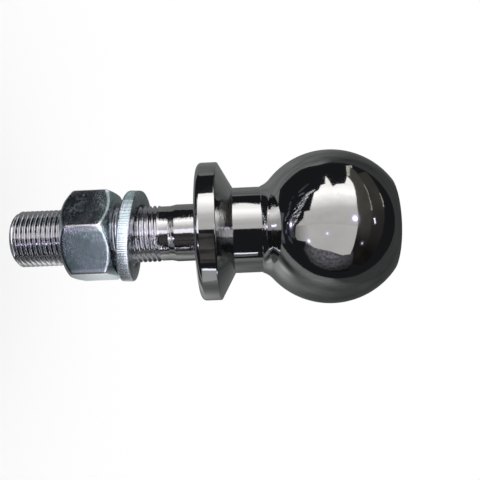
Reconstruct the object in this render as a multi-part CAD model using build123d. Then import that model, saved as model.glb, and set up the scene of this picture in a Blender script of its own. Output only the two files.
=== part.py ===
import os
from math import radians, sqrt, tan

from build123d import *

# Driving dimensions, in millimetres and degrees.
# The origin is the centre of the flange's seat. +Z runs up the axis to the ball.

ball_dia = 50.8             # coupling ball, two inches
ball_foot_z = 17.4          # where the whole sphere would end, inside the neck
ball_flat_cut = 5.2         # height that the flat takes off the crown
ball_flat_chamfer = 0.4     # broken edge round the flat

neck_dia = 28.5
neck_top_z = 20.4           # turned edge where the neck ends and the hollow starts
neck_step = 0.2             # ledge that the turning tool leaves there
hollow_radius = 7.4         # hollow that runs from the ledge into the ball

flange_dia = 45.9
flange_rim_height = 6.5
flange_seat_chamfer = 0.9   # lower edge of the rim
flange_rim_chamfer = 0.4    # upper edge of the rim
flange_slope_height = 4.8   # cone from the rim up to the neck

shank_length = 61.2         # from the seat to the end of the shank
shank_body_dia = 19.05      # plain part that fills the hole in the hitch, 3/4 inch
shank_body_length = 7.7
shank_taper_length = 2.0
shank_blank_dia = 18.2      # bare blank between the taper and the thread
shank_blank_length = 2.9
thread_dia = 18.8           # over the crests, 3/4-16
shank_end_chamfer = 1.2

nut_across_flats = 28.0     # for a 1-1/8 inch spanner
nut_thickness = 15.8
nut_end_gap = 18.1          # bare thread between the nut and the end of the shank
nut_turn = 11.7             # corner nearest the front, turned from -Y towards -X
nut_corner_round = 0.8
nut_face_dia = 27.1         # flat end face inside the chamfer
nut_chamfer_angle = 43.0    # from the end face
nut_bore_chamfer = 1.6
nut_running_gap = 0.05      # radial, between bore and thread crests

washer_bore = 20.7
washer_width = 4.9          # radial
washer_thickness = 4.2
washer_free_rise = 4.5      # how far the coil climbs in a whole turn
washer_split = 9.0          # missing arc at the split, degrees
washer_split_at = 90.0      # direction of the split, from +X
washer_lean = 3.0           # tilt of the loose ring about +Y
washer_sag = 0.3            # how far the loose ring hangs off centre, towards +X
washer_rest_gap = 0.1       # between the ring's lowest end and the nut

# Heights that several pieces share.
ball_centre_z = ball_foot_z + ball_dia / 2
nut_bottom_z = nut_end_gap - shank_length
nut_top_z = nut_bottom_z + nut_thickness


def hollow_arc():
    """Start, middle and end of the hollow, which touches the ball and starts at the ledge."""
    ball_r = ball_dia / 2
    middle = Vector(0, ball_centre_z)
    start = Vector(neck_dia / 2 + neck_step, neck_top_z)
    reach = (start - middle).length
    outward = (start - middle).normalized()
    sideways = Vector(-outward.Y, outward.X)
    along = ((ball_r + hollow_radius) ** 2 - hollow_radius ** 2 + reach ** 2) / (2 * reach)
    across = sqrt((ball_r + hollow_radius) ** 2 - along ** 2)
    centre = middle + outward * along + sideways * across
    end = middle + (centre - middle).normalized() * ball_r
    half = centre + ((start + end) / 2 - centre).normalized() * hollow_radius
    return start, half, end


def tow_ball():
    """One forging, turned and plated: ball, neck, flange and shank."""
    ball_r = ball_dia / 2
    neck_r = neck_dia / 2
    flange_r = flange_dia / 2
    body_r = shank_body_dia / 2
    blank_r = shank_blank_dia / 2
    crest_r = thread_dia / 2
    crown_z = ball_centre_z + ball_r - ball_flat_cut
    flat_r = sqrt(ball_r ** 2 - (crown_z - ball_centre_z) ** 2)
    end_z = -shank_length
    blank_top_z = -shank_body_length - shank_taper_length
    thread_top_z = blank_top_z - shank_blank_length
    hollow_start, hollow_half, hollow_end = hollow_arc()

    with BuildPart() as part:
        with BuildSketch(Plane.XZ):
            with BuildLine():
                Polyline(
                    (0, crown_z),
                    (0, end_z),
                    (crest_r - shank_end_chamfer, end_z),
                    (crest_r, end_z + shank_end_chamfer),
                    (crest_r, thread_top_z + blank_r - crest_r),
                    (blank_r, thread_top_z),
                    (blank_r, blank_top_z),
                    (body_r, -shank_body_length),
                    (body_r, 0),
                    (flange_r - flange_seat_chamfer, 0),
                    (flange_r, flange_seat_chamfer),
                    (flange_r, flange_rim_height - flange_rim_chamfer),
                    (flange_r - flange_rim_chamfer, flange_rim_height),
                    (neck_r, flange_rim_height + flange_slope_height),
                    (neck_r, neck_top_z),
                    hollow_start,
                )
                ThreePointArc(hollow_start, hollow_half, hollow_end)
                ThreePointArc(hollow_end, (ball_r, ball_centre_z), (flat_r, crown_z))
                Line((flat_r, crown_z), (0, crown_z))
            make_face()
        revolve(axis=Axis.Z)
        crown_edge = part.edges().filter_by(GeomType.CIRCLE).sort_by(Axis.Z)[-1]
        chamfer(crown_edge, ball_flat_chamfer)
    return part.part


def lock_washer():
    """Square-section spring ring, wound left-handed and cut through once, resting on the nut."""
    arc = 360 - washer_split
    coil = Helix(
        pitch=washer_free_rise,
        height=washer_free_rise * arc / 360,
        radius=(washer_bore + washer_width) / 2,
        lefthand=True,
    )
    start = Plane(origin=coil @ 0, x_dir=(1, 0, 0), z_dir=coil % 0)
    ring = sweep(start * Rectangle(washer_width, washer_thickness), path=coil, is_frenet=True)
    ring = Rot(0, washer_lean, 0) * Rot(0, 0, washer_split_at - washer_split / 2) * ring
    lowest_z = ring.bounding_box(optimal=True).min.Z
    return Pos(washer_sag, 0, nut_top_z + washer_rest_gap - lowest_z) * ring


def hex_nut():
    """Hexagon nut, chamfered at both ends of its corners and of its bore."""
    corner_r = nut_across_flats / sqrt(3)
    face_r = nut_face_dia / 2
    bore_r = thread_dia / 2 + nut_running_gap
    mouth_r = bore_r + nut_bore_chamfer
    chamfer_drop = (corner_r - face_r) * tan(radians(nut_chamfer_angle))

    with BuildPart() as part:
        with BuildSketch(Plane.XY.offset(nut_bottom_z)):
            RegularPolygon(corner_r, 6, rotation=30 - nut_turn)
        extrude(amount=nut_thickness)
        fillet(part.edges().filter_by(Axis.Z), nut_corner_round)
        with BuildSketch(Plane.XZ):
            with BuildLine():
                Polyline(
                    (bore_r, nut_bottom_z + nut_bore_chamfer),
                    (mouth_r, nut_bottom_z),
                    (face_r, nut_bottom_z),
                    (corner_r, nut_bottom_z + chamfer_drop),
                    (corner_r, nut_top_z - chamfer_drop),
                    (face_r, nut_top_z),
                    (mouth_r, nut_top_z),
                    (bore_r, nut_top_z - nut_bore_chamfer),
                    close=True,
                )
            make_face()
        revolve(axis=Axis.Z, mode=Mode.INTERSECT)
    return part.part


os.makedirs("parts", exist_ok=True)
for make_piece in (tow_ball, lock_washer, hex_nut):
    export_step(make_piece(), f"parts/{make_piece.__name__}.step")
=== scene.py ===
from random import Random
from math import acos, atan2, cos, degrees, hypot, pi, radians, sin, sqrt, tan, tau

import bpy
from mathutils import Matrix, Vector


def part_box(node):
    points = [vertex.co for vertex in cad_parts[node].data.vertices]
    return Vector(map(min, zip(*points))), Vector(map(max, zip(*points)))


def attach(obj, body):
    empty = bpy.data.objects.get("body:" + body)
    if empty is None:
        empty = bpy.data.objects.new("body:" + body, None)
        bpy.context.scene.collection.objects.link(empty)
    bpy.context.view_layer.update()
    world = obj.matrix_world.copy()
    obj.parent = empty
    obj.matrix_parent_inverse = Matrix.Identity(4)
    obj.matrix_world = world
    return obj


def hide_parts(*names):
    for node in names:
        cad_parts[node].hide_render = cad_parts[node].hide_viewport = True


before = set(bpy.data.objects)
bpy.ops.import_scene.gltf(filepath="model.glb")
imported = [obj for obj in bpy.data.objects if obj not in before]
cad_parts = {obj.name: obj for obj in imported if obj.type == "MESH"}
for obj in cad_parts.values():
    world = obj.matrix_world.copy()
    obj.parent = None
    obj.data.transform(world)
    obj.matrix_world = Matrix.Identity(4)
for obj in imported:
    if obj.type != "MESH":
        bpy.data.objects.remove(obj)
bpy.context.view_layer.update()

# The camera. It looks at the part lying on its side: +Z runs to the right of the picture and
# -X up, level with the neck and close enough that the two ends are seen a little from inside.
mm = 0.001
camera_place = Vector((3.253, -180.626, 17.511)) * mm
picture_right = Vector((0.041823, 0.024411, 0.998826))
picture_up = Vector((-0.999125, 0.001022, 0.041811))
camera_lens = 40.5
camera_sensor = 36.0
camera_near = 0.01
camera_far = 20.0

camera_data = bpy.data.cameras.new("camera")
camera_data.lens = camera_lens
camera_data.sensor_width = camera_sensor
camera_data.clip_start = camera_near
camera_data.clip_end = camera_far
camera = bpy.data.objects.new("camera", camera_data)
camera_back = picture_right.cross(picture_up)
camera.matrix_world = Matrix.Translation(camera_place) @ Matrix(
    (picture_right, picture_up, camera_back)
).transposed().to_4x4()
bpy.context.scene.collection.objects.link(camera)
bpy.context.scene.camera = camera
bpy.context.scene.view_settings.view_transform = "Standard"


# The floor and the white surroundings. The part is held over the floor by its flange, so the
# floor lies under the end of the shank.
class Wire:
    """One output of a shader node. Arithmetic on it adds Math nodes to its tree."""

    def __init__(self, tree, socket):
        self.tree = tree
        self.socket = socket

    def __getitem__(self, output):
        return Wire(self.tree, self.socket.node.outputs[output])

    def math(self, operation, *values):
        return self.tree.node("ShaderNodeMath", {"operation": operation}, dict(enumerate(values)))

    def __add__(self, other):
        return self.math("ADD", self, other)

    def __radd__(self, other):
        return self.math("ADD", other, self)

    def __sub__(self, other):
        return self.math("SUBTRACT", self, other)

    def __rsub__(self, other):
        return self.math("SUBTRACT", other, self)

    def __mul__(self, other):
        return self.math("MULTIPLY", self, other)

    def __rmul__(self, other):
        return self.math("MULTIPLY", other, self)

    def __truediv__(self, other):
        return self.math("DIVIDE", self, other)

    def __rtruediv__(self, other):
        return self.math("DIVIDE", other, self)

    def __pow__(self, other):
        return self.math("POWER", self, other)

    def __rpow__(self, other):
        return self.math("POWER", other, self)

    def at_least(self, other):
        return self.math("MAXIMUM", self, other)


class Tree:
    """The node tree of a material, a light or the world, emptied."""

    def __init__(self, owner):
        owner.use_nodes = True
        self.tree = owner.node_tree
        self.tree.nodes.clear()

    def node(self, kind, settings=None, inputs=None):
        made = self.tree.nodes.new(kind)
        for name, value in (settings or {}).items():
            if name == "stops":
                ramp = made.color_ramp
                while len(ramp.elements) < len(value):
                    ramp.elements.new(1.0)
                for element, (place, colour) in zip(ramp.elements, value):
                    element.position = place
                    element.color = colour
            else:
                setattr(made, name, value)
        for name, value in (inputs or {}).items():
            if isinstance(value, Wire):
                self.tree.links.new(value.socket, made.inputs[name])
            else:
                made.inputs[name].default_value = value
        return Wire(self, next((o for o in made.outputs if o.enabled), None))

    def surface(self, shader):
        self.node("ShaderNodeOutputMaterial", inputs={"Surface": shader})


def grey(level):
    return (level, level, level, 1.0)


def link_mesh(name, points, faces, material, smooth=True):
    """A mesh object in the part's frame, from points in millimetres."""
    mesh = bpy.data.meshes.new(name)
    mesh.from_pydata([(x * mm, y * mm, z * mm) for x, y, z in points], [], faces)
    mesh.validate()
    mesh.materials.append(material)
    if smooth:
        mesh.shade_smooth()
    made = bpy.data.objects.new(name, mesh)
    bpy.context.scene.collection.objects.link(made)
    return made


floor_drop = 24.0       # from the end of the shank to the floor
floor_half = 3000.0

world = bpy.data.worlds.new("white_surroundings")
bpy.context.scene.world = world
world_tree = Tree(world)
world_light = world_tree.node("ShaderNodeBackground", inputs={"Color": grey(1.0), "Strength": 1.0})
world_tree.node("ShaderNodeOutputWorld", inputs={"Surface": world_light})

floor_paint = bpy.data.materials.new("floor_white")
floor_tree = Tree(floor_paint)
floor_tree.surface(floor_tree.node("ShaderNodeBsdfDiffuse", inputs={"Color": grey(1.0)}))
shank_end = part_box("tow_ball")[0].z / mm
floor_z = shank_end - floor_drop
floor = link_mesh(
    "floor",
    [(x * floor_half, y * floor_half, floor_z) for x, y in ((-1, -1), (1, -1), (1, 1), (-1, 1))],
    [(0, 1, 2, 3)],
    floor_paint,
    smooth=False,
)
floor.visible_glossy = False


# The studio round the part. Black flags keep the white surroundings out of the chrome, a
# softbox hangs over the camera with small lamps beside it, and a grey sheet stands close behind.
# They show only in what the metal mirrors.
def glow(name, strength, tint):
    """A material that shines evenly."""
    made = bpy.data.materials.new(name)
    tree = Tree(made)
    tree.surface(
        tree.node("ShaderNodeEmission", inputs={"Color": (*tint, 1.0), "Strength": strength})
    )
    return made


def new_paint(name):
    """A new material, its tree, and the place on its surface, in metres."""
    made = bpy.data.materials.new(name)
    tree = Tree(made)
    return made, tree, tree.node("ShaderNodeTexCoord")["Object"]


def axes(tree, place):
    return tree.node("ShaderNodeSeparateXYZ", inputs={"Vector": place})


def shine(tree, tint, level):
    """Emission of this tint, with a brightness that changes over the surface."""
    colour = tree.node("ShaderNodeVectorMath", {"operation": "SCALE"}, {"Vector": tint, "Scale": level})
    return tree.node("ShaderNodeEmission", inputs={"Color": colour, "Strength": 1.0})


def noise(tree, place, scale, detail, roughness=0.5):
    """Soft clouds, about as many to the metre as the scale says."""
    return tree.node(
        "ShaderNodeTexNoise",
        inputs={"Vector": place, "Scale": scale, "Detail": detail, "Roughness": roughness},
    )


def between(tree, value, start, end, low, high):
    """Goes from low to high while the value goes from start to end."""
    return tree.node("ShaderNodeMapRange", inputs={"Value": value, 1: start, 2: end, 3: low, 4: high})


def falloff(tree, place, middle, radius, rim_share):
    """1 at the middle, and this share of it one radius away."""
    reach = tree.node("ShaderNodeVectorMath", {"operation": "DISTANCE"}, {0: place, 1: middle})["Value"]
    return rim_share ** (reach / radius) ** 2.0


def only_in_reflections(thing):
    """Nothing but the metal's reflections shows this."""
    thing.visible_camera = False
    thing.visible_diffuse = False
    thing.visible_shadow = False
    thing.visible_transmission = False
    thing.visible_volume_scatter = False


def card(name, corners, material):
    """A flat card through these corners, seen from both sides."""
    only_in_reflections(link_mesh(name, corners, [tuple(range(len(corners)))], material, smooth=False))


def front_card(name, y, outline, material):
    """A card that faces the part from the camera's side, with its outline as (up, along Z)."""
    card(name, [(-up, y, z) for up, z in outline], material)


def one_way_card(name, corners, seen_from, strength, tint):
    """A card that shines towards one point, and that can't be seen from behind."""
    first, second, third = (Vector(corner) for corner in corners[:3])
    if (second - first).cross(third - second).dot(Vector(seen_from) - first) < 0:
        corners = corners[::-1]
    made = bpy.data.materials.new(name + "_cloth")
    tree = Tree(made)
    behind = tree.node("ShaderNodeNewGeometry")["Backfacing"]
    light = tree.node("ShaderNodeEmission", inputs={"Color": (*tint, 1.0), "Strength": strength})
    clear = tree.node("ShaderNodeBsdfTransparent")
    tree.surface(tree.node("ShaderNodeMixShader", inputs={0: behind, 1: light, 2: clear}))
    card(name, corners, made)


def mottled(name, low, high, scale, tint):
    """A material that shines in patches, between two strengths."""
    made, tree, place = new_paint(name)
    patches = noise(tree, place, scale, 4.0, 0.7)
    tree.surface(shine(tree, tint, between(tree, patches, 0.35, 0.65, low, high)))
    return made


# The largest cards are laid out by what the ball mirrors. A corner of theirs is given as a pixel
# of the picture, from its top left, and lies where the ray through that pixel goes on from the
# ball.
picture_size = 480
picture_focal = picture_size * camera_lens / camera_sensor
ball_r = 25.4
ball_centre_z = 42.8


def in_ball(right, down, normal, offset):
    """The point, in millimetres, of the plane that the ball shows at a pixel of the picture."""
    across = picture_right * (right - picture_size / 2)
    rise = picture_up * (picture_size / 2 - down)
    way = (across + rise - camera_back * picture_focal).normalized()
    centre = Vector((0.0, 0.0, ball_centre_z))
    eye = camera_place / mm - centre
    along = way.dot(eye)
    outward = eye - way * (along + sqrt(along ** 2 - eye.length_squared + ball_r ** 2))
    mirrored = way.reflect(outward.normalized())
    place = outward + centre
    return place + mirrored * ((offset - place.dot(normal)) / mirrored.dot(normal))


def on_front_plane(y, pixels):
    """Corners (up, along Z) on the plane at this y, from the pixels at which the ball shows them."""
    seen = [in_ball(right, down, Vector((0.0, 1.0, 0.0)), y) for right, down in pixels]
    return [(-place.x, place.z) for place in seen]


def on_end_plane(z, pixels):
    """Corners (up, along Y) on the plane at this z, from the pixels at which the ball shows them."""
    seen = [in_ball(right, down, Vector((0.0, 0.0, 1.0)), z) for right, down in pixels]
    return [(-place.x, place.y) for place in seen]


flag_reach = 1500.0
flag_strength = 0.014
booth_corners = [
    (x * flag_reach, y * flag_reach, z * flag_reach) for x in (-1, 1) for y in (-1, 1) for z in (-1, 1)
]
booth_faces = [(0, 1, 3, 2), (4, 6, 7, 5), (0, 4, 5, 1), (2, 3, 7, 6), (1, 5, 7, 3), (0, 2, 6, 4)]
flag_cloth = glow("black_cloth", flag_strength, (0.9, 0.95, 1.1))
only_in_reflections(link_mesh("black_flags", booth_corners, booth_faces, flag_cloth, smooth=False))

# The grey sheet, a leaning plane of mottled cloth, which fades out past the ball.
sheet_gap = 24.0        # behind the axis, at the seat
sheet_lean_x = -0.19
sheet_lean_z = 0.12
sheet_level = 0.21
sheet_spot_rim = 0.37
sheet_paint, sheet_tree, sheet_place = new_paint("grey_sheet")


def on_sheet(x, z):
    """The point of the sheet at this x and z."""
    return x, sheet_gap + sheet_lean_x * x + sheet_lean_z * z, z


def sheet_spot(x, z, radius):
    """A soft round spot on the sheet, 1 at its middle."""
    middle = tuple(value * mm for value in on_sheet(x, z))
    return falloff(sheet_tree, sheet_place, middle, radius * mm, sheet_spot_rim)


sheet_grain = noise(sheet_tree, sheet_place, 26.0, 4.0, 0.6)
sheet_fade = between(
    sheet_tree, axes(sheet_tree, sheet_place)["Z"], 18.0 * mm, 115.0 * mm, 1.0, 0.26
)
sheet_strength = sheet_level * (0.4 + 1.2 * sheet_grain) * sheet_fade

# Its painted shade, dark spots each with the share of the light that it takes at its middle, and then
# its painted pools of light, below the nut and behind the neck and the ball, with the light that they
# add.
for x, z, radius, share in (
    (48.0, 58.0, 45.0, 0.55),
    (120.0, 40.0, 55.0, 0.5),
    (-190.0, 50.0, 120.0, 0.35),
    (100.0, -85.0, 65.0, 0.85),
    (10.0, -9.0, 22.0, 0.85),
):
    sheet_strength = sheet_strength * (1.0 - share * sheet_spot(x, z, radius))
for x, z, radius, added in (
    (44.0, -6.0, 14.0, 0.2),
    (26.0, -36.0, 13.0, 0.8),
    (62.0, -28.0, 16.0, 0.35),
    (-4.0, 46.0, 12.0, 0.9),
    (0.0, 14.0, 7.0, 0.7),
):
    sheet_strength = sheet_strength + added * sheet_spot(x, z, radius)
sheet_tree.surface(shine(sheet_tree, (0.97, 1.0, 0.99), sheet_strength))

# The sheet's left edge is given as pixels in the ball, and the rest of its outline as (x, z).
sheet_normal = Vector((-sheet_lean_x, 1.0, -sheet_lean_z))
sheet_low_pixel = (285, 249)
sheet_edge_pixels = [(278, 206), (279, 198), (280, 190), (284, 184), (290, 178), (300, 170)]
sheet_corners = [
    on_sheet(1300, -1300),
    in_ball(*sheet_low_pixel, sheet_normal, sheet_gap),
    on_sheet(154, -500),
    *(in_ball(right, down, sheet_normal, sheet_gap) for right, down in sheet_edge_pixels),
    on_sheet(-1300, -100),
    on_sheet(-1300, 1300),
    on_sheet(1300, 1300),
]
card("grey_sheet", sheet_corners, sheet_paint)

# The softbox, a frame of white cloth with a stepped outline, brightest high up. The steps on its
# left, its notched top and its right edge are given as pixels in the ball, and the rest of it as
# (up, along Z).
softbox_y = -300.0
softbox_top = 500.0
softbox_left_pixels = [
    (295.9, 226.4), (297.6, 224.8), (300.2, 222.1), (303.5, 218.3), (304.6, 211.7), (310.0, 210.7),
    (312.2, 200.9), (314.3, 192.2),
]
softbox_top_pixels = [
    (325.8, 175.9), (329.6, 181.3), (332.8, 186.7), (336.1, 184.0), (344.8, 183.5), (347.0, 175.9),
    (352.9, 183.5), (355.7, 192.2), (356.7, 203.0), (357.8, 209.6), (358.4, 216.1),
]
softbox_outline = [
    *on_front_plane(softbox_y, softbox_left_pixels),
    (400, -100),
    (540, -75),
    (560, -20),
    *on_front_plane(softbox_y, softbox_top_pixels),
    (-25, 226),
    (-25, 60),
    (12, 20),
]


def warm(level):
    return (level, 0.985 * level, 0.955 * level, 1.0)


softbox_levels = [
    (0.0, warm(0.59)), (0.18, warm(0.63)), (0.28, warm(0.7)), (0.39, warm(1.05)), (0.66, warm(1.66)),
    (1.0, warm(1.4)),
]
softbox_paint, softbox_tree, softbox_place = new_paint("softbox_cloth")
softbox_rise = axes(softbox_tree, softbox_place)["X"] * (-1.0 / (softbox_top * mm))
softbox_shade = softbox_tree.node(
    "ShaderNodeValToRGB", {"stops": softbox_levels}, {"Fac": softbox_rise}
)
softbox_cloud = noise(softbox_tree, softbox_place, 14.0, 3.0)
softbox_tree.surface(shine(softbox_tree, softbox_shade, 0.86 + 0.28 * softbox_cloud))
front_card("softbox", softbox_y, softbox_outline, softbox_paint)

# The cards close in front of the ball: a white one, and a dark woven one under it. Both are
# dimmer towards the neck, and the dark one fades out below.
ball_card_y = -26.5
ball_card_paint, ball_card_tree, ball_card_place = new_paint("ball_card_cloth")
ball_card_cloud = noise(ball_card_tree, ball_card_place, 90.0, 3.0)
ball_card_fade = between(
    ball_card_tree, axes(ball_card_tree, ball_card_place)["Z"], 24.0 * mm, 32.0 * mm, 0.45, 1.0
)
ball_card_level = (0.5 + 0.24 * ball_card_cloud) * ball_card_fade
ball_card_tree.surface(shine(ball_card_tree, warm(1.0)[:3], ball_card_level))
ball_card_pixels = [
    (295.9, 225.8), (295.3, 235.7), (297.0, 240.0), (305.7, 241.6), (314.3, 247.6), (329.6, 250.9),
    (342.6, 255.2), (350.2, 254.1), (353.5, 246.5), (355.7, 237.8), (357.8, 225.9),
]
ball_card_outline = on_front_plane(ball_card_y, ball_card_pixels) + [(0.4, 40)]
front_card("ball_card", ball_card_y, ball_card_outline, ball_card_paint)
under_paint, under_tree, under_place = new_paint("ball_card_under_cloth")
under_axes = axes(under_tree, under_place)
under_weave = noise(under_tree, under_place, 550.0, 3.0, 0.7)
under_low_fade = between(under_tree, under_axes["X"], 12.0 * mm, 27.0 * mm, 1.0, 0.04)
under_right_fade = between(under_tree, under_axes["Z"], 38.0 * mm, 50.0 * mm, 1.0, 0.25)
under_left_fade = between(under_tree, under_axes["Z"], 27.0 * mm, 34.0 * mm, 0.25, 1.0)
under_level = (0.55 * under_weave - 0.11) * under_low_fade * under_right_fade * under_left_fade
under_tree.surface(shine(under_tree, (0.96, 0.95, 1.05), under_level))
front_card(
    "ball_card_under",
    ball_card_y - 0.2,
    [(-7, 29), (-7, 47), (-12.5, 48.5), (-27.7, 50.4), (-27.4, 38.5), (-20.1, 28.5), (-11, 26.5)],
    under_paint,
)

# The cards that light one small place each: the nut, the front and the top of the washer's rim,
# the shank, and the rounded edge of the seat. For each: its corners, the place that it lights, its
# brightness and its tint.
for name, corners, lights, strength, tint in (
    (
        "nut_card",
        [(9, -30, -27), (50, -30, -27), (85, -47.4, -56), (15, -47.4, -56)],
        (5, -13, -35),
        0.3,
        (0.85, 0.95, 1.1),
    ),
    (
        "washer_card",
        [(-24.8, -26.2, -20.8), (58.4, -26.2, -20.8), (125.6, -51.2, -40.0), (-50.4, -51.2, -40.0)],
        (0, -14, -22),
        2.3,
        (0.95, 0.94, 1.0),
    ),
    (
        "washer_top_card",
        [(-26.2, -32.3, -22.6), (-26.2, 17.1, -22.6), (-76.9, 32.7, -39.5), (-76.9, -45.3, -39.5)],
        (-14, -6, -24),
        0.8,
        (0.9, 0.97, 1.0),
    ),
    (
        "shank_card",
        [(1.4, -33.1, -1.0), (-8.0, -33.1, -1.0), (-8.0, -43.9, -19.0), (1.4, -43.9, -19.0)],
        (0, -9.5, -4),
        1.5,
        (0.93, 0.9, 1.0),
    ),
):
    one_way_card(name, corners, lights, strength, tint)

seat_card_inner_r = 21.3
seat_card_outer_r = 28
seat_card_z = -3
for name, low_angle, high_angle, strength, tint in (
    ("seat_card", 4, 30, 1.3, (1.0, 0.99, 0.98)),
    ("seat_lamp", -6, 4, 3.0, (0.86, 0.82, 1.0)),
):
    angles = [radians(low_angle), radians((low_angle + high_angle) / 2), radians(high_angle)]
    inner = [(-seat_card_inner_r * sin(a), -seat_card_inner_r * cos(a), seat_card_z) for a in angles]
    outer = [(-seat_card_outer_r * sin(a), -seat_card_outer_r * cos(a), seat_card_z) for a in angles]
    one_way_card(name, inner + outer[::-1], (0, -22, 0), strength, tint)

# Dim cards in front of the softbox's lower left part and under the end of the shank.
front_card(
    "dim_card", softbox_y + 10.0, [(5, -90), (-350, -90), (-350, -14), (-20, -14)],
    mottled("dim_card_cloth", 0.02, 0.12, 25.0, (1.0, 0.9, 0.9)),
)
card(
    "end_card",
    [(x, y, -140) for x, y in ((-60, -60), (60, -60), (60, 20), (-60, 20))],
    mottled("end_card_cloth", 0.05, 0.16, 30.0, (0.9, 1.0, 1.04)),
)

# The strips under the flange, the neck and the plain shank, which slant so that the ball sees only
# their backs. For each: the radius that mirrors it, its ends along Z, its bright front edge and
# its back edge along Y, and its brightness.
strip_x = 45.0
strip_slant = 3.5
strip_edge_width = 3.0
strip_edge_strength = 1.7
strip_mirror_x = 0.54   # the place that mirrors a strip, in radii from the axis
strip_mirror_y = -0.84


def strip_point(mirror, y, z):
    """The slanting strip's point that the mirror sees where a level strip has this y and z."""
    x = strip_x + strip_slant * (mirror.z - z)
    return x, mirror.y + (y - mirror.y) * (x - mirror.x) / (strip_x - mirror.x), z


for name, mirror_r, start_z, end_z, front_y, back_y, level in (
    ("flange_strip", 22.95, -3, 5, -37.5, -18, 0.42),
    ("neck_strip", 14.25, 9, 19, -31.5, -22, 0.14),
    ("shank_strip", 9.525, -15, -6.5, -29.5, -20, 0.16),
):
    mirror = Vector((strip_mirror_x * mirror_r, strip_mirror_y * mirror_r, (start_z + end_z) / 2))
    for part, from_y, to_y, strength, tint in (
        ("cloth", front_y + strip_edge_width, back_y, level, (0.95, 0.98, 1.0)),
        ("edge", front_y, front_y + strip_edge_width, strip_edge_strength, (0.88, 0.86, 1.0)),
    ):
        outline = ((from_y, start_z), (from_y, end_z), (to_y, end_z), (to_y, start_z))
        corners = [strip_point(mirror, y, z) for y, z in outline]
        one_way_card(f"{name}_{part}", corners, mirror, strength, tint)

# The brown-grey walls far to the right, each with a bright strip at its edge, and a small lamp
# just in front of them. Their edges are given as pixels in the ball, and the rest of them as (up,
# along Y). For each wall: its edge, the rest of its outline, its brightness, the points of its edge
# that the strip follows, and the strip's width and brightness.
wall_z = 600.0
near_wall_pixels = [
    (358, 174), (364, 184), (369, 196), (372, 210), (371, 225), (368, 240), (361, 254), (352, 263),
]
far_wall_pixels = [
    (366, 172), (374, 182), (380, 193), (384, 207), (384, 224), (380, 240), (373, 254), (362, 266),
]
near_wall_edge = [(1300, 200), *on_end_plane(wall_z, near_wall_pixels)]
far_wall_edge = on_end_plane(wall_z, far_wall_pixels)
for name, edge, rest, level, strip_part, strip_width, strip_level in (
    ("near_wall", near_wall_edge, [(-1145, -1100), (1300, -1100)], 0.075, slice(2, 5), 14, 0.6),
    ("far_wall", far_wall_edge, near_wall_edge[:0:-1], 0.05, slice(2, 4), 9, 0.9),
):
    wall_paint, wall_tree, wall_place = new_paint(name + "_paint")
    wall_stain = noise(wall_tree, wall_place, 2.5, 2.0)
    wall_drop = axes(wall_tree, wall_place)["X"]
    wall_fade = between(wall_tree, wall_drop, -250.0 * mm, 450.0 * mm, 1.0, 0.2)
    wall_tree.surface(shine(wall_tree, (1.0, 0.96, 0.86), level * (0.5 + wall_stain) * wall_fade))
    card(name, [(-up, y, wall_z) for up, y in edge + rest], wall_paint)
    strip = edge[strip_part]
    strip_back = [(up, y - strip_width) for up, y in reversed(strip)]
    card(
        name + "_strip",
        [(-up, y, wall_z - 1) for up, y in strip + strip_back],
        glow(name + "_strip_light", strip_level, (1.0, 0.97, 0.85)),
    )
side_lamp_z = wall_z - 2
one_way_card(
    "side_lamp",
    [(x, y, side_lamp_z) for x, y in ((-5, -352), (-5, -322), (-80, -330), (-80, -358))],
    (0, 0, 0),
    2.2,
    (0.86, 0.82, 1.0),
)

# A flap of pale card that hangs over the right end of the softbox's top edge.
card(
    "notch_flap",
    [(-1400, -297, 560), (-1400, 222, 533), (-1400, 349, 687), (-1400, -297, 720)],
    mottled("notch_flap_cloth", 0.3, 0.75, 5.0, (1.0, 0.97, 0.85)),
)

# Scraps of white cloth strewn along the left edge of the softbox, and dim cards left of them.
scraps = Random(5)
scrap_paints = [glow(f"scrap_cloth_{i}", 0.5 + 0.5 * i, (0.95, 0.96, 1.0)) for i in range(3)]
shelf_paints = [glow(f"shelf_cloth_{i}", 0.02 + 0.05 * i, (0.85, 0.95, 1.15)) for i in range(4)]
scrap_count = 60
shelf_thing_count = 22


def tilted_card(name, up, z, high_half, long_half, tilt, paint):
    """A small card in front of the softbox's plane."""
    corners = ((-1, -1), (1, -1), (1, 1), (-1, 1))
    outline = [(up + b * high_half + a * long_half * tilt, z + a * long_half) for a, b in corners]
    front_card(name, softbox_y + 2.0, outline, paint)


for number in range(scrap_count):
    along = scraps.random()
    up = 440.0 - 430.0 * along + scraps.uniform(-20, 20)
    z = -170.0 - 210.0 * along - (60.0 + 300.0 * along) * scraps.random() ** 1.5
    high_half, long_half = scraps.uniform(1.5, 5.5), scraps.uniform(10, 42)
    paint = scrap_paints[number % len(scrap_paints)]
    tilted_card(f"scrap_{number}", up, z, high_half, long_half, scraps.uniform(0.1, 0.6), paint)
for number in range(shelf_thing_count):
    up = scraps.uniform(-250, 900)
    z = scraps.uniform(-900, -420) + 0.2 * max(up, 0.0)
    high_half, long_half = scraps.uniform(15, 60), scraps.uniform(25, 90)
    paint = shelf_paints[number % len(shelf_paints)]
    tilted_card(f"shelf_thing_{number}", up, z, high_half, long_half, scraps.uniform(-0.4, 0.4), paint)

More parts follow.
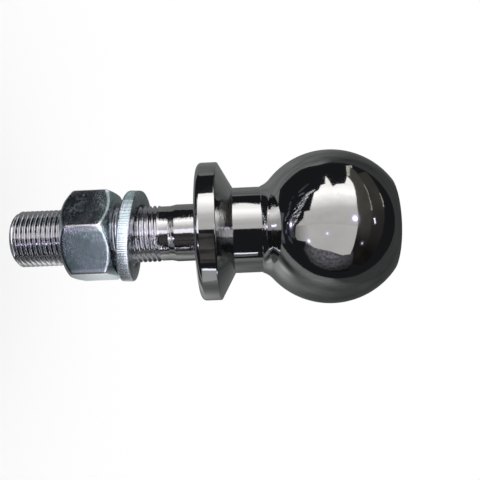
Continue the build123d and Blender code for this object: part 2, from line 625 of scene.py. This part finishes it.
# The lamps, each a spot of light with a halo. For each: its place as (Y, up, along Z), its
# radius, its brightness and that of its halo.
lamp_tint = (0.8, 0.74, 1.0)
lamp_rim = 0.2          # the share of the light one radius from the middle
lamp_halo_size = 2.4    # times the lamp's radius
lamp_disc_size = 4.4
lamp_sides = 24
lamp_y = softbox_y + 1.0
ball_lamp_y = ball_card_y + 0.1
for name, y, up, z, radius, strength, halo in (
    ("top_lamp", lamp_y, 317, 74, 15, 12.0, 0.3),
    ("big_lamp", lamp_y, 49, 205, 19, 12.0, 0.8),
    ("small_lamp", lamp_y, -172, 300, 8, 4.0, 0.5),
    ("far_lamp", lamp_y, 40, -520, 36, 12.0, 0.5),
    ("low_lamp", lamp_y, -130, -182, 18, 14.0, 0.5),
    ("card_lamp", ball_lamp_y, -5.8, 31.2, 0.65, 6.0, 0.8),
    ("faint_lamp", ball_lamp_y, -2.7, 38.6, 0.6, 2.2, 0.3),
):
    lamp_paint, lamp_tree, lamp_place = new_paint(name + "_light")
    lamp_middle = (-up * mm, y * mm, z * mm)
    lamp_core = falloff(lamp_tree, lamp_place, lamp_middle, radius * mm, lamp_rim)
    lamp_wide = falloff(lamp_tree, lamp_place, lamp_middle, lamp_halo_size * radius * mm, lamp_rim)
    lamp_light = shine(lamp_tree, lamp_tint, 1.0 + (strength - 1.0) * lamp_core)
    lamp_clear = lamp_tree.node("ShaderNodeBsdfTransparent")
    lamp_cover = lamp_core.at_least(lamp_wide * halo)
    lamp_tree.surface(
        lamp_tree.node("ShaderNodeMixShader", inputs={0: lamp_cover, 1: lamp_clear, 2: lamp_light})
    )
    disc_r = lamp_disc_size * radius
    turns = [tau * i / lamp_sides for i in range(lamp_sides)]
    front_card(name, y, [(up + disc_r * cos(a), z + disc_r * sin(a)) for a in turns], lamp_paint)


# The tow ball. One steel forging, turned all over, with a rolled thread, then polished and
# chrome plated. The flat on the crown and the ledge over the neck are left from the lathe.
crown_z = 63.0
crown_round = 0.45
crown_edge_inset = 0.18
crown_edge_drop = 0.03
crown_edge_turn = 0.8   # degrees of the ball that the rounding takes
neck_r = 14.25
ledge_z = 20.4
ledge_step = 0.2
ledge_round = 0.06
hollow_r = 7.4
flange_r = 22.95
rim_height = 6.5
seat_round = 1.6
rim_round = 0.55
slope_height = 4.8
foot_round = 0.25
body_r = 9.525
body_length = 7.7
taper_length = 2.0
taper_round = 0.3
blank_r = 9.1
thread_top_z = -12.6
thread_r = 9.4
thread_pitch = 25.4 / 16
thread_depth = 0.92
end_chamfer = 1.2
end_middle_r = 4.0      # the end face is made of two rings that meet here
runout_length = 1.2
around = 180            # points round the axis
hollow_steps = 14
ball_steps = 44


def arc(centre, radius, start, end, steps):
    """Points (r, z) on an arc, with angles in degrees from the r axis towards +Z."""
    angles = [radians(start + (end - start) * i / steps) for i in range(steps + 1)]
    return [(centre[0] + radius * cos(a), centre[1] + radius * sin(a)) for a in angles]


def rounded(outline, roundings, steps=6):
    """The outline with chosen corners rounded: {corner's number: radius}."""
    made = []
    for i, (r, z) in enumerate(outline):
        if i not in roundings:
            made.append((r, z))
            continue
        corner = Vector((r, z))
        before = (Vector(outline[i - 1]) - corner).normalized()
        after = (Vector(outline[i + 1]) - corner).normalized()
        half = before.angle(after) / 2
        reach = roundings[i] / tan(half)
        middle = corner + (before + after).normalized() * (roundings[i] / sin(half))
        start = corner + before * reach - middle
        end = corner + after * reach - middle
        turn = start.angle_signed(end)
        for k in range(steps + 1):
            made.append(tuple(middle + Matrix.Rotation(-turn * k / steps, 2) @ start))
    return made


def held(outline, gap=0.1):
    """The outline with a point close to each end of its long straight stretches, so that the
    smooth shading of its corners doesn't bend what the flat stretches mirror."""
    made = [outline[0]]
    for start, end in zip(outline, outline[1:]):
        length = hypot(end[0] - start[0], end[1] - start[1])
        if length > 6 * gap:
            for share in (gap / length, 1 - gap / length):
                r = start[0] + (end[0] - start[0]) * share
                made.append((r, start[1] + (end[1] - start[1]) * share))
        made.append(end)
    return made


# The circle of the hollow touches the ball's and passes through the ledge.
ledge = Vector((neck_r + ledge_step, ledge_z))
ball_middle = Vector((0, ball_centre_z))
ledge_out = (ledge - ball_middle).normalized()
ledge_reach = (ledge - ball_middle).length
hollow_along = ((ball_r + hollow_r) ** 2 - hollow_r ** 2 + ledge_reach ** 2) / (2 * ledge_reach)
hollow_across = sqrt((ball_r + hollow_r) ** 2 - hollow_along ** 2)
ledge_side = Vector((-ledge_out.y, ledge_out.x))
hollow_middle = ball_middle + ledge_out * hollow_along + ledge_side * hollow_across
hollow_start = degrees(atan2(ledge.y - hollow_middle.y, ledge.x - hollow_middle.x)) % 360
ball_touch = degrees(atan2(ball_middle.y - hollow_middle.y, ball_middle.x - hollow_middle.x)) % 360
crown_half = degrees(acos((crown_z - ball_centre_z) / ball_r))

# The outline runs from the thread's end of the blank up to the crown.
lower_outline = rounded(
    [
        (blank_r, thread_top_z),
        (blank_r, -body_length - taper_length),
        (body_r, -body_length),
        (body_r, 0.0),
        (flange_r, 0.0),
        (flange_r, rim_height),
        (neck_r, rim_height + slope_height),
        (neck_r, ledge_z),
        (neck_r + ledge_step, ledge_z),
    ],
    {
        1: taper_round,
        2: taper_round,
        3: foot_round,
        4: seat_round,
        5: rim_round,
        6: foot_round,
        7: ledge_round,
    },
)
hollow_outline = arc(hollow_middle, hollow_r, hollow_start, ball_touch, hollow_steps)
ball_stop = 90 - crown_half - crown_edge_turn
ball_outline = arc(ball_middle, ball_r, ball_touch - 180, ball_stop, ball_steps)
crown_r = ball_r * sin(radians(crown_half))
crown_outline = [
    (crown_r - crown_edge_inset, crown_z - crown_edge_drop),
    (crown_r - crown_round, crown_z),
    (crown_r * 0.66, crown_z),
    (crown_r * 0.33, crown_z),
]
turned_outline = held(lower_outline) + hollow_outline[1:] + ball_outline[1:] + crown_outline

# One turn of the thread: (share of the pitch, share of the depth), from crest to crest.
thread_form = [
    (0.0, 0.03), (0.03, 0.0), (0.19, 0.0), (0.22, 0.03), (0.27, 0.14), (0.48, 0.86), (0.53, 0.97),
    (0.56, 1.0), (0.66, 1.0), (0.69, 0.97), (0.74, 0.86), (0.95, 0.14),
]


def shank_thread_radius(z, depth_share):
    """Radius on the thread at this height, with its runout and its chamfered end."""
    radius = thread_r - thread_depth * depth_share
    fade = min(max((z - (thread_top_z - runout_length)) / runout_length, 0.0), 1.0)
    radius = radius + (blank_r - radius) * fade ** 1.5
    return min(radius, thread_r - end_chamfer + (z - shank_end))


class Wall:
    """A skin round the axis, made of rows of points at the same angles."""

    def __init__(self, angles):
        self.angles = angles
        self.points = []
        self.faces = []
        self.numbers = {}

    def point(self, column, r, z):
        column %= len(self.angles)
        key = (round(r, 4), column, round(z, 4)) if r > 0 else (0.0, 0, round(z, 4))
        if key not in self.numbers:
            self.numbers[key] = len(self.points)
            angle = self.angles[column]
            self.points.append((r * cos(angle), r * sin(angle), z))
        return self.numbers[key]

    def face(self, *corners):
        kept = [c for i, c in enumerate(corners) if c != corners[i - 1]]
        if len(set(kept)) > 2:
            self.faces.append(tuple(kept))

    def strip(self, low, high):
        """Faces between two rows, each a function that gives (r, z) at a column."""
        for column in range(len(self.angles)):
            corners = ((low, column), (low, column + 1), (high, column + 1), (high, column))
            self.face(*(self.point(place, *row(place)) for row, place in corners))

    def turned(self, outline):
        for low, high in zip(outline, outline[1:]):
            self.strip(lambda column: low, lambda column: high)

    def thread(self, form, low_z, high_z, radius, inward=False):
        """A right-hand helical wall between two heights, with the radius as a function."""
        count = len(self.angles)
        per_turn = len(form)

        def row(number):
            turn, step = divmod(number, per_turn)
            share, depth_share = form[step]

            def at(column):
                laps, place = divmod(column, count)
                climb = laps + self.angles[place] / tau
                z = (turn + share + climb) * thread_pitch
                z = min(max(z, low_z), high_z)
                return radius(z, depth_share), z

            return at

        first = (int(low_z // thread_pitch) - 2) * per_turn
        last = (int(high_z // thread_pitch) + 2) * per_turn
        for number in range(first, last):
            pair = (row(number), row(number + 1))
            self.strip(*(reversed(pair) if inward else pair))


end_outer_r = shank_thread_radius(shank_end, 0.0)
shank = Wall([tau * column / around for column in range(around)])
shank.turned([(0.0, shank_end), (end_middle_r, shank_end), (end_outer_r, shank_end)])
shank.thread(thread_form, shank_end, thread_top_z, shank_thread_radius)
shank.turned(turned_outline + [(0.0, crown_z)])

# Chrome: bright and slightly warm-grey, with faint smears. It keeps fine turning marks on the
# cone over the flange and on the shank.
chrome, chrome_tree, chrome_place = new_paint("chrome_plate")
chrome_z = axes(chrome_tree, chrome_place)["Z"]
on_shank = between(chrome_tree, chrome_z, -9.0 * mm, -13.0 * mm, 0.0, 1.0)
on_body = between(chrome_tree, chrome_z, 0.0, -0.6 * mm, 0.0, 1.0)
below_cone_top = between(chrome_tree, chrome_z, 11.4 * mm, 10.8 * mm, 0.0, 1.0)
below_cone_foot = between(chrome_tree, chrome_z, 7.2 * mm, 6.6 * mm, 0.0, 1.0)
on_cone = below_cone_top - below_cone_foot
chrome_smear = noise(chrome_tree, chrome_place, 90.0, 3.0)
chrome_swell = noise(chrome_tree, chrome_place, 150.0, 1.0)
chrome_stretched = chrome_tree.node(
    "ShaderNodeVectorMath", {"operation": "MULTIPLY"}, {0: chrome_place, 1: (700.0, 700.0, 2200.0)}
)
chrome_lathe = noise(chrome_tree, chrome_stretched, 1.0, 2.0)
chrome_height = chrome_swell * 0.0016 + chrome_lathe * (0.0002 + 0.0022 * on_body + 0.002 * on_cone)
# On the threaded shank the chrome's colour is lighter and more lavender, a painted sheen.
chrome_colour = chrome_tree.node(
    "ShaderNodeMix",
    {"data_type": "RGBA"},
    {"Factor": on_shank, 6: (0.63, 0.632, 0.638, 1.0), 7: (0.74, 0.73, 0.77, 1.0)},
)[2]
chrome_bump = chrome_tree.node(
    "ShaderNodeBump", inputs={"Height": chrome_height, "Strength": 1.0, "Distance": 0.02}
)
chrome_shader = chrome_tree.node(
    "ShaderNodeBsdfPrincipled",
    inputs={
        "Base Color": chrome_colour,
        "Metallic": 1.0,
        "Roughness": 0.035 + 0.06 * chrome_smear + 0.03 * on_shank,
        "Normal": chrome_bump,
    },
)
chrome_tree.surface(chrome_shader)

ball = link_mesh("chromed_ball_and_shank", shank.points, shank.faces, chrome)
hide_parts("tow_ball")
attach(ball, "ball")

# The hexagon nut. Steel bar, drilled, tapped and chamfered at both ends, then zinc plated. It
# runs on the shank's thread.
nut_half = 14.0
nut_turn = radians(11.7)
nut_corner_round = 1.2
nut_face_r = 13.55
nut_chamfer_rise = tan(radians(43.0))
nut_mouth_r = 11.05
nut_root_r = 9.52
nut_thread_depth = 0.85
nut_edge_round = 0.8
nut_face_land = 0.15    # close rows that keep the end faces flat
nut_face_drop = 0.03
nut_low, nut_high = (corner.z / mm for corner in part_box("hex_nut"))
nut_arc_centre = (nut_half - nut_corner_round) / cos(pi / 6)
nut_flat_limit = atan2((nut_half - nut_corner_round) * tan(pi / 6), nut_half)
nut_flat_shares = [-1.0, -0.98, -0.9, -0.7, -0.5, -0.3, -0.1, 0.1, 0.3, 0.5, 0.7, 0.9, 0.98, 1.0]
nut_corner_steps = 6


def hexagon_radius(turn):
    """Distance from the axis to the round-cornered hexagon, at an angle from a flat's middle."""
    off = pi / 6 - abs((turn + pi / 6) % (pi / 3) - pi / 6)
    if off >= pi / 6 - nut_flat_limit:
        return nut_half / cos(pi / 6 - off)
    return nut_arc_centre * cos(off) + sqrt(nut_corner_round ** 2 - (nut_arc_centre * sin(off)) ** 2)


# The turns of the nut's columns from the middle of its first flat, finer at the corners.
nut_turns = []
for side in range(6):
    nut_turns += [side * pi / 3 + nut_flat_limit * share for share in nut_flat_shares]
    for step in range(1, nut_corner_steps):
        bend = pi / 3 * (step / nut_corner_steps - 0.5)
        x = nut_arc_centre + nut_corner_round * cos(bend)
        nut_turns.append((side + 0.5) * pi / 3 + atan2(nut_corner_round * sin(bend), x))
nut_start = 1.5 * pi - nut_turn - pi / 6
nut = Wall([nut_start + turn for turn in nut_turns])


def nut_row(inset, rise, top):
    """A row on the outside: inset from the hexagon, and raised from the edge of the chamfer."""

    def at(column):
        r = hexagon_radius(nut_turns[column % len(nut_turns)])
        height = (r - nut_face_r) * nut_chamfer_rise + rise
        return r - inset, nut_high - height if top else nut_low + height

    return at


def nut_ring(r, z):
    return lambda column: (r, z)


def nut_edge_rows(top):
    """The rounding from the chamfer to the flats."""
    for share in (0.0, 0.2, 0.4, 0.6, 0.8, 1.0):
        inset = nut_edge_round * 0.6 * (1 - share) ** 2
        yield nut_row(inset, nut_edge_round * share ** 2 - inset * nut_chamfer_rise, top)
    yield nut_row(0.0, nut_edge_round * 1.2, top)


def nut_bore_radius(z, depth_share):
    """Radius of the tapped bore, which opens in a countersink at each end."""
    thread = nut_root_r - nut_thread_depth * depth_share
    return max(thread, nut_mouth_r - (z - nut_low), nut_mouth_r - (nut_high - z))


nut_side = [
    nut_ring(nut_mouth_r, nut_low),
    nut_ring(nut_mouth_r + nut_face_land, nut_low),
    nut_ring(nut_face_r - nut_face_land, nut_low),
    nut_ring(nut_face_r, nut_low + nut_face_drop),
    *nut_edge_rows(False),
    *reversed(list(nut_edge_rows(True))),
    nut_ring(nut_face_r, nut_high - nut_face_drop),
    nut_ring(nut_face_r - nut_face_land, nut_high),
    nut_ring(nut_mouth_r + nut_face_land, nut_high),
    nut_ring(nut_mouth_r, nut_high),
]
for low_row, high_row in zip(nut_side, nut_side[1:]):
    nut.strip(low_row, high_row)
nut.thread(thread_form, nut_low, nut_high, nut_bore_radius, inward=True)

# Zinc: mottled blue-white and green-grey, with fine scratches in patches, and brighter at the
# corners and rims, a painted highlight.
zinc, zinc_tree, zinc_place = new_paint("zinc_plate")
zinc_axes = axes(zinc_tree, zinc_place)
zinc_radius = (zinc_axes["X"] ** 2.0 + zinc_axes["Y"] ** 2.0) ** 0.5
# Painted highlight: the zinc turns pale from 15.2 mm out from the axis, on the nut's corners and the
# washer's rim, with fainter grain there.
zinc_edge_highlight = between(zinc_tree, zinc_radius, 15.2 * mm, 15.6 * mm, 0.0, 1.0)
zinc_cloud = noise(zinc_tree, zinc_place, 260.0, 4.0)
zinc_grit = noise(zinc_tree, zinc_place, 900.0, 5.0, 0.7)
zinc_drawn = zinc_tree.node(
    "ShaderNodeVectorMath", {"operation": "MULTIPLY"}, {0: zinc_place, 1: (250.0, 250.0, 3600.0)}
)
zinc_lines = noise(zinc_tree, zinc_drawn, 1.0, 2.0)
zinc_stops = [
    (0.3, (0.33, 0.45, 0.43, 1.0)), (0.52, (0.5, 0.57, 0.6, 1.0)), (0.72, (0.66, 0.66, 0.78, 1.0)),
]
zinc_tint = zinc_tree.node(
    "ShaderNodeValToRGB", {"stops": zinc_stops}, {"Fac": zinc_cloud * 0.7 + zinc_grit * 0.3}
)
zinc_bend = zinc_tree.node(
    "ShaderNodeVectorMath",
    {"operation": "MULTIPLY_ADD"},
    {0: zinc_grit["Color"], 1: (0.003,) * 3, 2: zinc_place},
)
zinc_cells = zinc_tree.node(
    "ShaderNodeTexVoronoi", {"feature": "DISTANCE_TO_EDGE"}, {"Vector": zinc_bend, "Scale": 620.0}
)
zinc_patches = noise(zinc_tree, zinc_place, 170.0, 3.0)
zinc_scratch_line = between(zinc_tree, zinc_cells, 0.02, 0.07, 1.0, 0.0)
zinc_scratch_where = between(zinc_tree, zinc_patches, 0.5, 0.62, 0.0, 0.55)
zinc_scratch = zinc_scratch_line * zinc_scratch_where
zinc_colour = zinc_tree.node(
    "ShaderNodeMix",
    {"data_type": "RGBA"},
    {"Factor": zinc_edge_highlight.at_least(zinc_scratch), 6: zinc_tint, 7: (0.9, 0.9, 0.97, 1.0)},
)[2]
zinc_bump = zinc_tree.node(
    "ShaderNodeBump",
    inputs={
        "Height": (zinc_grit * 0.0022 + zinc_lines * 0.0022) * (1.0 - 0.8 * zinc_edge_highlight),
        "Strength": 1.0,
        "Distance": 0.02,
    },
)
zinc_shader = zinc_tree.node(
    "ShaderNodeBsdfPrincipled",
    inputs={
        "Base Color": zinc_colour,
        "Metallic": 1.0,
        "Roughness": 0.12 + 0.2 * zinc_cloud + 0.25 * zinc_scratch,
        "Normal": zinc_bump,
    },
)
zinc_tree.surface(zinc_shader)

nut_piece = link_mesh("zinc_hex_nut", nut.points, nut.faces, zinc)
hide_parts("hex_nut")
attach(nut_piece, "nut")


# The lock washer. Square spring wire, coiled left-handed for one turn and cut off, so that its
# ends stand apart, then zinc plated. It lies loose between the nut and the flange.
washer_bore = 20.7
washer_width = 4.9
washer_thickness = 4.2
washer_rise = 4.5
washer_split = radians(9.0)
washer_split_at = radians(90.0)
washer_lean = radians(3.0)
washer_sag = 0.3
washer_corner_round = 0.65
washer_corner_steps = 5
ridge_count = 165       # fine marks across the rim, left by the coiling rolls
ridge_steps = 5
ridge_height = 0.085
ridge_land = 0.12       # the ridges fade out over this width at the rim's edges
washer_steps = ridge_count * ridge_steps
washer_coil_r = (washer_bore + washer_width) / 2


def washer_section(corner_round, steps):
    """Points (outward, up) of the wire's section, with rounded corners."""
    half_width, half_height = washer_width / 2, washer_thickness / 2
    made = []
    for side_x, side_y, start in ((1, -1, -90), (1, 1, 0), (-1, 1, 90), (-1, -1, 180)):
        centre = (side_x * (half_width - corner_round), side_y * (half_height - corner_round))
        made += arc(centre, corner_round, start, start + 90, steps)
    return made


def washer_points(section, steps, ridges):
    """The section carried round the coil, which leans, as one row of points a step."""
    lean = Matrix.Rotation(washer_lean, 3, "Y")
    rows = []
    for step in range(steps + 1):
        turned = (tau - washer_split) * step / steps
        angle = washer_split_at - washer_split / 2 - turned
        height = washer_rise * turned / tau
        row = []
        for out, up in section:
            on_rim = min(max((out - washer_width / 2 + ridge_land) / ridge_land, 0.0), 1.0)
            r = washer_coil_r + out - on_rim * ridges[step]
            row.append(lean @ Vector((r * cos(angle), r * sin(angle), height + up)))
        rows.append(row)
    return rows


marks = Random(3)
ridge_depths = [ridge_height * marks.uniform(0.5, 1.0) for number in range(ridge_count + 1)]
ridge_insets = [
    ridge_depths[step // ridge_steps] * (1 - cos(tau * step / ridge_steps))
    for step in range(washer_steps + 1)
]

# The ring is set so that it would stand where the solid does if its corners were sharp.
sharp_steps = 240
sharp_rows = washer_points(washer_section(0.001, 1), sharp_steps, [0.0] * (sharp_steps + 1))
sharp_low = min(p.z for row in sharp_rows for p in row)
washer_shift = Vector((washer_sag, 0.0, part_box("lock_washer")[0].z / mm - sharp_low))
section = washer_section(washer_corner_round, washer_corner_steps)
washer_rows = washer_points(section, washer_steps, ridge_insets)
per_row = len(section)
washer_faces = [
    (row + i, row + (i + 1) % per_row, row + per_row + (i + 1) % per_row, row + per_row + i)
    for row in range(0, washer_steps * per_row, per_row) for i in range(per_row)
]
washer_faces.append(tuple(reversed(range(per_row))))
washer_faces.append(tuple(washer_steps * per_row + i for i in range(per_row)))
washer_verts = [p + washer_shift for row in washer_rows for p in row]
washer = link_mesh("zinc_lock_washer", washer_verts, washer_faces, zinc)
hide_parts("lock_washer")
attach(washer, "washer")
